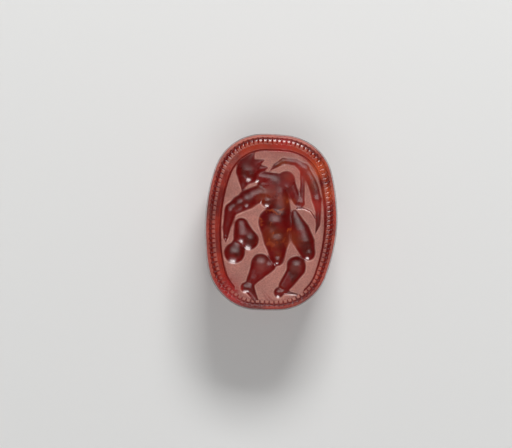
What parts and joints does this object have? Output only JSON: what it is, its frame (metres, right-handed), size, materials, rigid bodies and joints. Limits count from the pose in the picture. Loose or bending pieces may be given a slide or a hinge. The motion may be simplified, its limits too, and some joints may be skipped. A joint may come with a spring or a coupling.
{
  "type": "scarab seal",
  "caption": "Oval stone seal carved as a beetle, pierced lengthwise for a string, with a striding figure and a rope border engraved in its flat face.",
  "frame": {"origin": "middle of the string bore, on its axis", "axes": "+Z out of the engraved sealing face, +Y along the bore to the beetle's head, which is also the top of the engraved figure, and +X to the right of the figure as seen on the stone"},
  "size_m": [0.0112, 0.015, 0.009],
  "materials": {
    "carnelian": "polished translucent orange-red to brown-red chalcedony, hazier on the worn flat face"
  },
  "bodies": {
    "root": {"seal_base": "carnelian", "underbody": "carnelian", "front_leg_left": "carnelian", "front_leg_right": "carnelian", "middle_leg_left": "carnelian", "middle_leg_right": "carnelian", "hind_leg_left": "carnelian", "hind_leg_right": "carnelian", "wing_case_left": "carnelian", "wing_case_right": "carnelian", "thorax": "carnelian", "head": "carnelian", "head_shield": "carnelian"}
  },
  "joints": []
}
